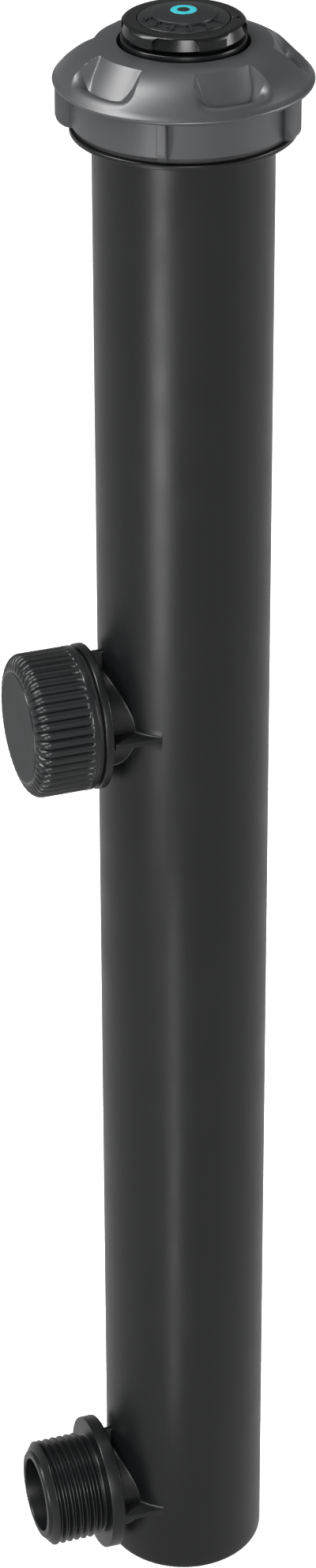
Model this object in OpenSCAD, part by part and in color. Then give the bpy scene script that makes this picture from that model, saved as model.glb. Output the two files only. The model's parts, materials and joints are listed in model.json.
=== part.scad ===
// Pop-up sprinkler with a tall case, two 3/4 inch male inlets and an adjustable spray head.
// Millimetres. Origin at the centre of the flat base, +Z up, both inlets point along -Y.

/* [Case] */
// Outer radius of the case tube
tube_r = 19.5; // [18.5:0.5:20.5]
// Wall of the case tube
tube_wall = 2.2; // [1.8:0.1:2.4]
// Thickness of the case floor
floor_t = 3; // [2.5:0.5:4]
// Height of the shoulder that the cap closes on
shoulder_z = 379.8; // [370:0.2:390]
// Radius of the shoulder flange
shoulder_r = 24.2; // [23.9:0.1:24.4]

/* [Inlets] */
// Height of the lower inlet
low_inlet_z = 19; // [18.5:0.5:30]
// Height of the side inlet
side_inlet_z = 241.2; // [200:0.2:280]
// Crest radius of the 3/4 inch pipe thread
thread_r = 13.22; // [13.1:0.01:13.3]
// Pitch of the 3/4 inch pipe thread
thread_pitch = 1.814; // [1.814]
// Radius of the water way in each inlet
inlet_bore_r = 9.2; // [8.5:0.1:9.5]
// Distance from the case axis to the end of an inlet
inlet_reach = 39.5; // [39:0.1:41]
// Radius of the flange on each inlet
inlet_flange_r = 16.7; // [16.5:0.1:16.8]

/* [Cap] */
// Radius of the crown's rim
crown_r = 27.6; // [27.4:0.1:28]
// Radius of the opening in the crown
crown_hole_r = 14; // [13.9:0.1:14.2]
// Radius of the cap's skirt
skirt_r = 24.1; // [24:0.1:24.3]
// Number of grips and of skirt ribs
grip_count = 5; // [4:1:6]

/* [Riser] */
// Outer radius of the riser stem
stem_r = 12; // [11.8:0.1:12]
// Wall of the riser stem
stem_wall = 1.6; // [1.4:0.1:1.7]
// Number of turns in the return spring
spring_turns = 26; // [20:1:28]

/* [Spray head] */
// Radius of the scalloped range ring
knob_r = 13.26; // [13:0.02:13.3]
// Height of the range ring
knob_h = 3.2; // [3:0.1:3.4]
// Number of scallops in the range ring
scallop_count = 5; // [4:1:6]

/* [Hidden] */
$fn = 96;

// Small shared sizes
gap = 0.3;                 // between pieces that move past each other
fit = 0.1;                 // between pieces that are pressed or snapped together
bore_r = tube_r - tube_wall;
stem_bore_r = stem_r - stem_wall;

// Case details
base_round = 1.5;
shoulder_t = 1.1;
neck_r = 20.3;
neck_crest_r = 21.4;
neck_top_z = shoulder_z + 8.2;
neck_pitch = 3;
guide_rib_h = 1.2;
guide_rib_w = 2;
web_t = 1.5;

// Inlet details
thread_root_r = thread_r - 1.16;
thread_land = 0.36;
pilot_r = 11.5;
low_flange_front = 24.5;
low_flange_t = 3.4;
side_flange_front = 23.9;
side_flange_t = 1.9;
boss_r = 11.8;
low_crests = 7;
side_crests = 6;

// Side inlet cap
gasket_t = 1.1;
side_cap_r = 16.5;
side_cap_rear = side_flange_front + gasket_t + 0.05;
side_cap_bore_r = thread_r + gap;
side_inlet_reach = inlet_reach - 2.2;
knurl_count = 48;
knurl_r = 0.42;

// Cap details
skirt_bottom_z = shoulder_z + 1.2;
cap_bore_r = neck_crest_r + gap;
rib_w = 2;
rib_reach = crown_r - 0.4;
rib_drop = 0.5;
grip_angle = 38;
rib_phase = -30;
grip_phase = rib_phase + 180 / grip_count;
ceiling_z = shoulder_z + 10.6;

// Wiper seal details
seal_seat_r = stem_r + 1.6;
seal_flange_r = crown_hole_r + 1.4;

// Crown section, from the opening outward and down to the rim
crown_section = [
    [crown_hole_r, shoulder_z + 18.5], [17, shoulder_z + 18.35], [19.5, shoulder_z + 17.7],
    [21.8, shoulder_z + 16.55], [24, shoulder_z + 14.8], [26, shoulder_z + 12.5],
    [crown_r - 0.3, shoulder_z + 11], [crown_r, shoulder_z + 10.4], [crown_r - 0.25, shoulder_z + 9.9]
];

// Riser details
foot_z = 4.5;
foot_r = 15.6;
foot_t = 4;
ratchet_z = foot_z + foot_t + gap + 0.8;
ratchet_h = 8;
ratchet_r = bore_r - gap;
tooth_h = 0.8;
tooth_count = 24;
stem_top_z = shoulder_z + 17.5;
spring_wire_r = 0.75;
spring_r = 14.3;
spring_base_z = ratchet_z + ratchet_h;
spring_top_z = shoulder_z - 1.4;

// Spray head heights, from the top of the nozzle flange up
nozzle_top_z = shoulder_z + 19.4;
knob_z = nozzle_top_z + 0.7;
knob_top_z = knob_z + knob_h;
scallop_phase = -27;
mark_angle = 73;
dial_r = 10;
dome_r = 6.8;
post_r = 2.2;
hub_r = 3.6;
throttle_r = 6;

// Filter hanging in the stem below the nozzle
filter_top_z = nozzle_top_z - 9.2;
filter_len = 46;
filter_r = 8.2;
mesh_rows = 6;

// A ring with square edges
module ring(outer, inner, z0, height) {
    translate([0, 0, z0]) difference() {
        cylinder(r = outer, h = height);
        translate([0, 0, -1]) cylinder(r = inner, h = height + 2);
    }
}

// Points of the outside of a ridged thread, from s0 towards smaller s, with flat crests
function thread_points(s0, count, pitch, root, crest, land) = [
    for (i = [0 : count - 1]) let (s = s0 - i * pitch)
        each [[root, s + pitch / 2 - 0.1], [crest, s + land / 2],
              [crest, s - land / 2], [root, s - pitch / 2 + 0.1]]
];

// Turns a shape that stands along +Z so that it points along -Y at a height
module on_inlet(z) {
    translate([0, 0, z]) rotate([90, 0, 0]) children();
}

// One male inlet without its water way, reaching out from the case axis
module spigot(reach, flange_front, flange_t, crests) {
    first_crest = reach - 2.1;
    cylinder(r = boss_r, h = flange_front - 0.5);
    translate([0, 0, flange_front - flange_t]) rotate_extrude() polygon([
        [0, 0], [inlet_flange_r - 0.3, 0], [inlet_flange_r, 0.3],
        [inlet_flange_r, flange_t - 0.3], [inlet_flange_r - 0.3, flange_t], [0, flange_t]]);
    rotate_extrude() polygon(concat(
        [[0, reach], [pilot_r - 0.6, reach], [pilot_r, reach - 0.6],
         [pilot_r, first_crest + thread_pitch / 2 + 0.1]],
        thread_points(first_crest, crests, thread_pitch, thread_root_r, thread_r, thread_land),
        [[thread_root_r, flange_front - 1], [0, flange_front - 1]]));
    for (turn = [0, 90]) rotate([0, 0, turn])
        translate([-inlet_flange_r + 0.4, -web_t / 2, 0])
            cube([2 * inlet_flange_r - 0.8, web_t, flange_front - flange_t + 0.3]);
}

module case_outside() {
    rotate_extrude() polygon(concat(
        [[0, 0]],
        [for (a = [0 : 15 : 90])
            [tube_r - base_round + base_round * sin(a), base_round - base_round * cos(a)]],
        [[tube_r, shoulder_z - shoulder_t], [shoulder_r - 0.2, shoulder_z - shoulder_t],
         [shoulder_r, shoulder_z - shoulder_t + 0.2], [shoulder_r, shoulder_z - 0.2],
         [shoulder_r - 0.2, shoulder_z], [neck_r, shoulder_z],
         [neck_r, shoulder_z + 1.6]],
        [for (i = [0 : 1]) let (z = shoulder_z + 2.4 + i * neck_pitch)
            each [[neck_crest_r, z], [neck_crest_r, z + 0.5], [neck_r, z + 1.3], [neck_r, z + 2.2]]],
        [[neck_r, neck_top_z], [0, neck_top_z]]));
}

module case_tube() color("#2c2d2e") {
    difference() {
        union() {
            case_outside();
            on_inlet(low_inlet_z) spigot(inlet_reach, low_flange_front, low_flange_t, low_crests);
            on_inlet(side_inlet_z) spigot(side_inlet_reach, side_flange_front, side_flange_t, side_crests);
        }
        translate([0, 0, floor_t]) cylinder(r = bore_r, h = neck_top_z);
        on_inlet(low_inlet_z) cylinder(r = inlet_bore_r, h = inlet_reach + 1);
        on_inlet(side_inlet_z) cylinder(r = inlet_bore_r, h = inlet_reach + 1);
    }
    // Ribs that keep the ratchet ring from turning
    for (turn = [0, 180]) rotate([0, 0, turn])
        translate([bore_r - guide_rib_h, -guide_rib_w / 2, floor_t - 0.2])
            cube([guide_rib_h + 0.4, guide_rib_w, shoulder_z - 8 - floor_t]);
    // Pads that hold the foot off the floor
    for (turn = [45 : 90 : 315]) rotate([0, 0, turn])
        translate([11, -1, floor_t - 0.2]) cube([4, 2, foot_z - floor_t + 0.15]);
}

module cap_seal_ring() color("#0d0d0e") ring(23.4, neck_crest_r + 0.4, shoulder_z, 1.1);

module side_cap_gasket() color("#0d0d0e")
    on_inlet(side_inlet_z) ring(15.6, thread_r + fit, side_flange_front + 0.02, gasket_t);

module side_inlet_cap() color("#1c1d1e")
    on_inlet(side_inlet_z) difference() {
        rotate_extrude() polygon(concat(
            [[0, side_cap_rear], [side_cap_r + 0.05, side_cap_rear],
             [side_cap_r + 0.05, side_cap_rear + 1.4], [side_cap_r, side_cap_rear + 1.5]],
            [for (a = [0 : 15 : 90])
                [side_cap_r - 2.6 + 2.6 * cos(a), inlet_reach - 2.8 + 2.6 * sin(a)]],
            [[12.6, inlet_reach - 0.2], [12.6, inlet_reach], [0, inlet_reach]]));
        translate([0, 0, side_cap_rear - 1]) cylinder(r = side_cap_bore_r, h = side_inlet_reach + 0.6 - side_cap_rear + 1);
        for (i = [0 : knurl_count - 1]) rotate([0, 0, i * 360 / knurl_count])
            translate([side_cap_r + 0.1, 0, side_cap_rear + 1.5])
                cylinder(r = knurl_r, h = inlet_reach, $fn = 16);
    }

// A sector of a ring section, turned about Z
module sector(start, sweep, points) {
    rotate([0, 0, start]) rotate_extrude(angle = sweep) polygon(points);
}

module body_cap() color("#5b5c5e") {
    difference() {
        union() {
            rotate_extrude() polygon(concat(crown_section,
                [[skirt_r, shoulder_z + 9.6], [skirt_r, skirt_bottom_z + 0.4],
                 [skirt_r - 0.4, skirt_bottom_z], [cap_bore_r, skirt_bottom_z],
                 [cap_bore_r, ceiling_z], [crown_hole_r, ceiling_z]]));
            for (i = [0 : grip_count - 1]) rotate([0, 0, rib_phase + i * 360 / grip_count])
                translate([0, rib_w / 2, 0]) rotate([90, 0, 0]) linear_extrude(rib_w) polygon([
                    [skirt_r - 0.5, shoulder_z + 10.4], [rib_reach, shoulder_z + 10.4],
                    [rib_reach, skirt_bottom_z + 2.4], [rib_reach - 0.5, skirt_bottom_z + 1],
                    [rib_reach - 1.6, skirt_bottom_z + 0.1], [rib_reach - 2.8, skirt_bottom_z - rib_drop],
                    [skirt_r - 0.5, skirt_bottom_z - rib_drop]]);
        }
        // Finger grips sunk in the crown, each a slope that ends in a flat ledge
        for (i = [0 : grip_count - 1])
            sector(grip_phase + i * 360 / grip_count - grip_angle / 2, grip_angle,
                [[18.6, shoulder_z + 18], [23.2, shoulder_z + 11.7], [crown_r - 0.9, shoulder_z + 11.3],
                 [crown_r + 1, shoulder_z + 11.5], [crown_r + 1, shoulder_z + 20], [18.6, shoulder_z + 20]]);
    }
}

// Hard ring that sits on the case's mouth and holds the wiper seal
module wiper_carrier() color("#232425") rotate_extrude() polygon([
    [seal_seat_r, spring_top_z + 1.3], [bore_r - fit, spring_top_z + 1.3], [bore_r - fit, neck_top_z + fit],
    [neck_r, neck_top_z + fit], [neck_r, ceiling_z - 0.2], [seal_flange_r, ceiling_z - 0.2],
    [seal_flange_r, ceiling_z - 1.4], [seal_seat_r, ceiling_z - 1.4]]);

// Soft seal with one lip that wipes the stem on its way down and one that holds water back
module wiper_seal() color("#111111") rotate_extrude() polygon([
    [stem_r + 0.05, neck_top_z - 3.4], [stem_r + 0.6, neck_top_z - 4.6], [seal_seat_r - fit, neck_top_z - 4.6],
    [seal_seat_r - fit, ceiling_z - 1.3], [seal_flange_r - fit, ceiling_z - 1.3],
    [seal_flange_r - fit, ceiling_z - fit], [stem_r + 0.9, ceiling_z - fit], [stem_r + 0.05, ceiling_z - 1.2],
    [stem_r + 0.05, ceiling_z - 2], [stem_r + 0.6, ceiling_z - 2.6], [stem_r + 0.6, neck_top_z - 2.6],
    [stem_r + 0.05, neck_top_z - 3]]);

module spring_seat() color("#9a9c9e") ring(bore_r - fit, stem_r + 0.5, spring_top_z + 0.05, 1.2);

// Point n of the spring's centre line, with flat ends
function spring_point(t) = let (turn = 360 * spring_turns * t)
    [spring_r * cos(turn), spring_r * sin(turn),
     spring_base_z + spring_wire_r + 0.05
        + (spring_top_z - spring_base_z - 2 * spring_wire_r - 0.1) * t];

module return_spring() color("#b9bcc0") {
    steps = spring_turns * 14;
    sides = 6;
    points = [for (i = [0 : steps]) let (p = spring_point(i / steps), turn = 360 * spring_turns * i / steps)
        for (k = [0 : sides - 1]) let (a = 360 * k / sides)
            [p.x + spring_wire_r * cos(a) * cos(turn), p.y + spring_wire_r * cos(a) * sin(turn),
             p.z + spring_wire_r * sin(a)]];
    walls = [for (i = [0 : steps - 1]) for (k = [0 : sides - 1]) let (n = (k + 1) % sides)
        each [[i * sides + k, i * sides + n, (i + 1) * sides + n],
              [i * sides + k, (i + 1) * sides + n, (i + 1) * sides + k]]];
    ends = [[for (k = [sides - 1 : -1 : 0]) k], [for (k = [0 : sides - 1]) steps * sides + k]];
    polyhedron(points = points, faces = concat(walls, ends));
}

// Ratchet teeth around a ring, pointing up
module teeth(r0, r1, z, height) {
    for (i = [0 : tooth_count - 1]) rotate([0, 0, i * 360 / tooth_count])
        translate([r0, 0, z]) rotate([90, 0, 90]) linear_extrude(r1 - r0)
            polygon([[-1.1, -0.3], [1, -0.3], [1, height * 0.3], [0.7, height], [-1.1, -0.15]]);
}

module ratchet_ring() color("#c9cbcd") difference() {
    union() {
        ring(ratchet_r, stem_r + gap, ratchet_z, ratchet_h);
        rotate([180, 0, 0]) teeth(stem_r + 0.7, foot_r - 0.8, -ratchet_z, tooth_h);
    }
    // Grooves that run on the case ribs, and grooves that let water pass
    for (turn = [0, 180]) rotate([0, 0, turn])
        translate([ratchet_r - guide_rib_h - 0.1, -guide_rib_w / 2 - gap, ratchet_z - 2])
            cube([4, guide_rib_w + 2 * gap, ratchet_h + 4]);
    for (turn = [30, 90, 150, 210, 270, 330]) rotate([0, 0, turn])
        translate([ratchet_r, 0, ratchet_z - 2]) cylinder(r = 1.2, h = ratchet_h + 4);
}

module riser_stem() color("#26272a") {
    difference() {
        rotate_extrude() polygon([
            [stem_bore_r, foot_z + 0.02], [foot_r - 0.3, foot_z + 0.02], [foot_r, foot_z + 0.4],
            [foot_r, foot_z + foot_t - tooth_h], [stem_r, foot_z + foot_t - tooth_h],
            [stem_r, stem_top_z - 0.4], [stem_r - 0.4, stem_top_z],
            [stem_bore_r, stem_top_z]]);
        // Water ports above the foot
        for (turn = [45 : 90 : 315]) rotate([0, 0, turn])
            translate([8, -3, ratchet_z + ratchet_h + 3]) cube([6, 6, 14]);
    }
    teeth(stem_r - 0.2, foot_r - 0.8, foot_z + foot_t - tooth_h, tooth_h);
}

module filter_basket() color("#d8dadb") {
    ring(stem_bore_r - fit, filter_r - 1.4, filter_top_z - 1.4, 1.4);
    ring(filter_r, filter_r - 1.4, filter_top_z - 4, 2.8);
    translate([0, 0, filter_top_z - filter_len]) cylinder(r = filter_r, h = 1.4);
    for (turn = [0 : 60 : 300]) rotate([0, 0, turn])
        translate([filter_r - 1.3, -0.8, filter_top_z - filter_len + 1]) cube([1, 1.6, filter_len - 4.5]);
    for (i = [1 : mesh_rows - 1])
        ring(filter_r, filter_r - 1.4, filter_top_z - filter_len + i * (filter_len - 4) / mesh_rows, 1);
}

module filter_mesh() color("#eceeee")
    difference() {
        ring(filter_r - 1.5, filter_r - 1.9, filter_top_z - filter_len + 1.45, filter_len - 3);
        for (row = [0 : mesh_rows - 1]) for (turn = [30 : 60 : 330]) rotate([0, 0, turn])
            translate([0, 0, filter_top_z - filter_len + 4.4 + row * (filter_len - 4) / mesh_rows])
                rotate([0, 90, 0]) cylinder(r = 1.6, h = filter_r);
    }

module nozzle_body() color("#2a2b2d") difference() {
    rotate_extrude() polygon([
        [0, nozzle_top_z - 9], [stem_bore_r - fit, nozzle_top_z - 9],
        [stem_bore_r - fit, nozzle_top_z - 6.6], [stem_bore_r - 1.4, nozzle_top_z - 6.6],
        [stem_bore_r - 1.4, nozzle_top_z - 5.2], [stem_bore_r - fit, nozzle_top_z - 5.2],
        [stem_bore_r - fit, stem_top_z + 0.1], [knob_r - 0.4, stem_top_z + 0.1],
        [knob_r, stem_top_z + 0.5], [knob_r, nozzle_top_z - 0.3], [knob_r - 0.3, nozzle_top_z],
        [0, nozzle_top_z]]);
    // Chamber for the throttle, the seat of the spray insert, and the screw hole
    translate([0, 0, nozzle_top_z - 7.4]) cylinder(r = throttle_r + gap, h = 5.6);
    translate([0, 0, nozzle_top_z - 2]) cylinder(r = 8.6, h = 3);
    for (turn = [0 : 60 : 300]) rotate([0, 0, turn])
        translate([4.4, 0, nozzle_top_z - 10]) cylinder(r = 1.1, h = 4);
    translate([0, 0, nozzle_top_z - 10]) cylinder(r = 1.2, h = 4);
}

module nozzle_o_ring() color("#101010") ring(stem_bore_r - 0.02, stem_bore_r - 1.35, nozzle_top_z - 6.55, 1.3);

module spray_insert() color("#3a3c3e") difference() {
    ring(8.5, hub_r + gap, nozzle_top_z - 1.75, 1.7);
    for (turn = [0 : 30 : 330]) rotate([0, 0, turn])
        translate([6.2, 0, nozzle_top_z - 3]) cylinder(r = 0.5, h = 4, $fn = 24);
}

module throttle_plug() color("#d9dbdc") difference() {
    translate([0, 0, nozzle_top_z - 5.7]) cylinder(r1 = throttle_r - 1.4, r2 = throttle_r, h = 1.4);
    translate([0, 0, nozzle_top_z - 8]) cylinder(r = hub_r + gap, h = 8);
}

module range_ring() color("#17181a") {
    difference() {
        rotate_extrude() polygon(concat(
            [[post_r + 0.05, knob_z], [knob_r - 0.3, knob_z], [knob_r, knob_z + 0.3]],
            [for (a = [0 : 22.5 : 90])
                [knob_r - 1.3 + 1.3 * cos(a), knob_top_z - 1.3 + 1.3 * sin(a)]],
            [[dial_r + 0.3, knob_top_z], [dial_r + 0.3, knob_z + 1.3], [post_r + 0.05, knob_z + 1.3]]));
        for (i = [0 : scallop_count - 1])
            sector(scallop_phase + i * 360 / scallop_count - 22, 44,
                [[knob_r - 0.9, knob_z - 1], [knob_r + 1, knob_z - 1],
                 [knob_r + 1, knob_top_z - 0.5], [knob_r - 0.9, knob_top_z - 0.5]]);
        // Pointer cut in the top of the ring
        rotate([0, 0, mark_angle]) translate([dial_r - 0.5, 0, knob_top_z - 0.5])
            linear_extrude(2) polygon([[0, 0], [2.6, -1.1], [2.6, 1.1]]);
    }
    // Hub that turns on the dial's post and drives the throttle
    ring(hub_r, post_r + 0.05, nozzle_top_z - 6.2, knob_z + 0.4 - nozzle_top_z + 6.2);
}

module hub_o_ring() color("#101010") ring(hub_r + 0.9, hub_r + 0.02, nozzle_top_z + 0.05, 0.6);

module dial_plate() color("#4a4b4d") {
    rotate_extrude() polygon([
        [dome_r - 0.6, knob_z + 1.6], [dial_r - 0.2, knob_z + 1.6], [dial_r, knob_z + 1.8],
        [dial_r, knob_top_z - 0.1], [dial_r - 0.2, knob_top_z + 0.1],
        [dome_r + 0.1, knob_top_z + 0.5], [dome_r - 0.6, knob_top_z + 0.5]]);
    rotate_extrude() polygon([
        [1.3, knob_z + 1.6], [dome_r - 0.4, knob_z + 1.6], [dome_r - 0.4, knob_z + 2.4], [1.3, knob_z + 2.4]]);
    ring(post_r, 1.3, nozzle_top_z - 7.35, knob_z + 1.8 - nozzle_top_z + 7.35);
}

module centre_cap() color("#4a4b4d") difference() {
    rotate_extrude() polygon([
        [0, knob_z + 2.45], [dome_r - 0.7, knob_z + 2.45], [dome_r - 0.7, knob_top_z + 0.55],
        [dome_r, knob_top_z + 0.55], [dome_r, knob_top_z + 1.1], [dome_r - 0.3, knob_top_z + 1.3],
        [4, knob_top_z + 1.65], [0, knob_top_z + 1.8]]);
    ring(2.8, 1.3, knob_top_z + 0.9, 2);
    translate([0, 0, knob_z + 2]) cylinder(r = 2.2, h = 1.4);
}

module marker_ring() color("#42b5be") ring(2.78, 1.32, knob_top_z + 0.92, 0.86);

module head_screw() color("#a9adb0") {
    translate([0, 0, nozzle_top_z - 9.6]) cylinder(r = 1.15, h = knob_z + 2.5 - nozzle_top_z + 9.6);
    difference() {
        translate([0, 0, knob_z + 2.42]) cylinder(r = 2, h = 0.9);
        for (turn = [0, 90]) rotate([0, 0, turn])
            translate([-1.2, -0.25, knob_z + 2.8]) cube([2.4, 0.5, 1]);
    }
}

case_tube();
cap_seal_ring();
side_cap_gasket();
side_inlet_cap();
body_cap();
wiper_carrier();
wiper_seal();
spring_seat();
return_spring();
ratchet_ring();
riser_stem();
filter_basket();
filter_mesh();
nozzle_body();
nozzle_o_ring();
spray_insert();
throttle_plug();
range_ring();
hub_o_ring();
dial_plate();
centre_cap();
marker_ring();
head_screw();
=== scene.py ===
import json
import math
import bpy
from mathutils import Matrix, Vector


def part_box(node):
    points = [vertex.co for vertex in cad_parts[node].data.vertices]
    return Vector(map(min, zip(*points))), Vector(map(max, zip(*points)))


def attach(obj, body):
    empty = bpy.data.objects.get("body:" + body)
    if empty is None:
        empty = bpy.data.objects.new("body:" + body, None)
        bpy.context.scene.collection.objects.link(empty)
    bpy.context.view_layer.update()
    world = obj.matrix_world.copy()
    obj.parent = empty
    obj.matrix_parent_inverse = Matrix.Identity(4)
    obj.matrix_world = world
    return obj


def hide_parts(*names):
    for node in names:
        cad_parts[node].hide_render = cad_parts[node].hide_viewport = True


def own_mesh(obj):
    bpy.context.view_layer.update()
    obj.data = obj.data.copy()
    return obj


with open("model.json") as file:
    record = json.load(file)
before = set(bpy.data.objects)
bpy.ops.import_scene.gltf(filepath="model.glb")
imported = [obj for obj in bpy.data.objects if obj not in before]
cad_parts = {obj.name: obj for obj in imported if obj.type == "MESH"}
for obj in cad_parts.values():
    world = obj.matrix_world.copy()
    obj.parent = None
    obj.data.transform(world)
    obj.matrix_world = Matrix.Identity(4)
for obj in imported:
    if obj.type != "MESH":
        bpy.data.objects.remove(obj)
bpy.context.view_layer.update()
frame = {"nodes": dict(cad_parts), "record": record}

from types import SimpleNamespace

import bmesh
import bpy
import numpy as np
from bpy.props import FloatProperty, IntProperty, PointerProperty, StringProperty
from mathutils import Vector

bl_info = {
    "name": "Pop-up sprinkler",
    "version": (1, 0, 0),
    "blender": (4, 5, 0),
    "location": "View3D > Sidebar > Sprinkler",
    "description": "Builds the finished surfaces of a tall pop-up sprinkler round its packed model",
    "category": "Object",
}

MM = 0.001
BODY_OF = {node: body for body, nodes in frame["record"]["behaviour"]["bodies"].items() for node in nodes}


def low(node):
    """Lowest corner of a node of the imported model."""
    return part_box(node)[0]


def high(node):
    """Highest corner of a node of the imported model."""
    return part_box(node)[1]


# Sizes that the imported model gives

SHOULDER_Z = low("cap_seal_ring").z
SIDE_INLET_Z = (low("side_inlet_cap").z + high("side_inlet_cap").z) / 2


def length(name, description, default):
    """A length that the user can change, in metres."""
    return FloatProperty(name=name, description=description, default=default, unit="LENGTH",
                         precision=5, min=0)


def count(name, description, default):
    """A number of like shapes that the user can change."""
    return IntProperty(name=name, description=description, default=default, min=1)


def finish_colour(name, description, default):
    """A colour that the user can change, as an sRGB hex value."""
    return StringProperty(name=name, description=description, default=default)


class CaseSizes(bpy.types.PropertyGroup):
    """Sizes of the case tube."""

    tube_radius: length("Tube radius", "Outer radius of the case tube", 0.0195)
    wall: length("Wall", "Wall of the case tube", 0.0022)
    floor: length("Floor", "Thickness of the case floor", 0.003)
    base_round: length("Base rounding", "Rounding under the case", 0.0015)
    shoulder_height: length("Shoulder height", "Height that the cap closes on", SHOULDER_Z)
    shoulder_radius: length("Shoulder radius", "Radius of the shoulder flange", high("case_tube").x)
    shoulder_thick: length("Shoulder thickness", "Thickness of the shoulder flange", 0.0011)
    neck_radius: length("Neck radius", "Root radius of the neck's thread", 0.0203)
    neck_crest: length("Neck crest", "Crest radius of the neck's thread", 0.0214)
    neck_top: length("Neck top", "Height of the neck's rim", high("case_tube").z)
    neck_pitch: length("Neck pitch", "Pitch of the neck's thread", 0.003)


class InletSizes(bpy.types.PropertyGroup):
    """Sizes that both inlets share, and the heights of the two."""

    low_height: length("Lower inlet height", "Height of the lower inlet's axis", 0.019)
    side_height: length("Side inlet height", "Height of the side inlet's axis", SIDE_INLET_Z)
    reach: length("Reach", "Distance from the case axis to the end of the lower inlet", -low("case_tube").y)
    bore_radius: length("Bore radius", "Radius of the water way", 0.0092)
    boss_radius: length("Boss radius", "Radius between the flange and the tube", 0.0118)
    flange_radius: length("Flange radius", "Radius of the flange", 0.0167)
    crest_radius: length("Crest radius", "Crest radius of the pipe thread", 0.01322)
    pitch: length("Pitch", "Pitch of the pipe thread", 0.001814)
    web: length("Web", "Thickness of the webs behind the flange", 0.0015)
    web_reach: length("Web reach", "Distance of the webs' outer edges from the inlet axis", 0.0163)


class CapSizes(bpy.types.PropertyGroup):
    """Sizes of the screw cap on the case."""

    crown_radius: length("Crown radius", "Radius of the crown's rim", 0.0276)
    hole_radius: length("Hole radius", "Radius of the opening in the crown", 0.014)
    top: length("Top", "Height of the crown", high("body_cap").z)
    skirt_radius: length("Skirt radius", "Radius of the skirt", 0.0241)
    skirt_bottom: length("Skirt bottom", "Height of the skirt's lower edge", low("body_cap").z + 0.0005)
    bore_radius: length("Bore radius", "Radius inside the skirt", 0.0217)
    ceiling: length("Ceiling", "Height of the underside of the crown", 0.3904)
    rib_reach: length("Rib reach", "Distance of the ribs' edges from the axis", 0.0272)
    grips: count("Grips", "Number of grips and of ribs", 5)


class HeadSizes(bpy.types.PropertyGroup):
    """Sizes of the spray head."""

    knob_radius: length("Ring radius", "Radius of the range ring", 0.01326)
    knob_top: length("Ring top", "Height of the range ring's top", high("range_ring").z)
    knob_thick: length("Ring height", "Height of the range ring's wall", 0.0032)
    dial_radius: length("Dial radius", "Radius of the dial", 0.00965)
    dome_radius: length("Dome radius", "Radius of the centre cap", 0.0068)
    flange_top: length("Flange top", "Height of the nozzle's flange", high("nozzle_body").z)
    stem_radius: length("Stem radius", "Outer radius of the riser stem", 0.012)
    scallops: count("Scallops", "Number of scallops in the range ring", 5)


class Finishes(bpy.types.PropertyGroup):
    """Colours of the object's materials, as sRGB hex values."""

    case: finish_colour("Case", "Polypropylene of the case", "#0b0c0d")
    cap: finish_colour("Cap", "ABS of the screw cap", "#303133")
    side_cap: finish_colour("Side cap", "Polypropylene of the side inlet's cap", "#161718")
    face: finish_colour("Side cap's face", "Eroded face of the side inlet's cap", "#232425")
    head: finish_colour("Range ring", "Acetal of the range ring", "#0c0d0e")
    dial: finish_colour("Dial", "ABS of the dial and its centre cap", "#1a1b1c")
    marker: finish_colour("Marker", "Turquoise ABS of the marker ring", "#2aa3ad")
    rubber: finish_colour("Seals", "Nitrile rubber of the seals", "#0e0e0f")
    stem: finish_colour("Stem", "Black acetal of the riser stem", "#1f2021")
    gauze: finish_colour("Gauze", "White nylon of the filter's gauze", "#e8eae8")
    natural: finish_colour("Natural parts", "Natural acetal of the inner parts", "#dcdbd6")
    steel: finish_colour("Steel", "Stainless steel of the spring and the screw", "#cfcfd1")
    floor: finish_colour("Floor", "Opal sheet under the object", "#fafafa")


def in_mm(group):
    """A group's values under the same names, with its lengths in millimetres."""
    values = {}
    for prop in group.bl_rna.properties:
        if prop.identifier in group.__annotations__:
            value = getattr(group, prop.identifier)
            values[prop.identifier] = value / MM if prop.type == "FLOAT" else value
    return SimpleNamespace(**values)


# Outlines and meshes, all in millimetres

def rounded(corners, steps=5):
    """A closed outline from (a, b, radius) corners, with an arc at each corner that has a radius."""
    outline = []
    for i, (a, b, radius) in enumerate(corners):
        here = Vector((a, b))
        to_last = Vector(corners[i - 1][:2]) - here
        to_next = Vector(corners[(i + 1) % len(corners)][:2]) - here
        if radius == 0:
            outline.append((a, b))
            continue
        half = to_last.angle(to_next) / 2
        centre = here + (to_last.normalized() + to_next.normalized()).normalized() * radius / math.sin(half)
        start = here + to_last.normalized() * radius / math.tan(half) - centre
        end = here + to_next.normalized() * radius / math.tan(half) - centre
        turn = math.atan2(start.x * end.y - start.y * end.x, start.dot(end))
        for k in range(steps + 1):
            t = turn * k / steps
            outline.append((centre.x + start.x * math.cos(t) - start.y * math.sin(t),
                            centre.y + start.x * math.sin(t) + start.y * math.cos(t)))
    return outline


def smooth_step(value):
    """Rises smoothly from 0 to 1 as value does."""
    value = np.clip(value, 0, 1)
    return value * value * (3 - 2 * value)


def mesh_piece(name, points, faces, sharp=35):
    """A mesh object from points in millimetres, shaded smooth but for edges sharper than an angle."""
    mesh = bpy.data.meshes.new(name)
    mesh.from_pydata((np.asarray(points, float).reshape(-1, 3) * MM).tolist(), [], faces)
    return tidy_piece(bpy.data.objects.new(name, mesh), sharp)


def tidy_piece(piece, sharp=35):
    """Welds and shades a piece's mesh, and links the piece to the scene."""
    work = bmesh.new()
    work.from_mesh(piece.data)
    bmesh.ops.remove_doubles(work, verts=work.verts, dist=0.0004 * MM)
    bmesh.ops.dissolve_degenerate(work, edges=work.edges, dist=0.0002 * MM)
    bmesh.ops.recalc_face_normals(work, faces=work.faces)
    work.to_mesh(piece.data)
    work.free()
    piece.data.shade_smooth()
    piece.data.set_sharp_from_angle(angle=math.radians(sharp))
    if piece.name not in bpy.context.scene.collection.objects:
        bpy.context.scene.collection.objects.link(piece)
    return piece


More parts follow.
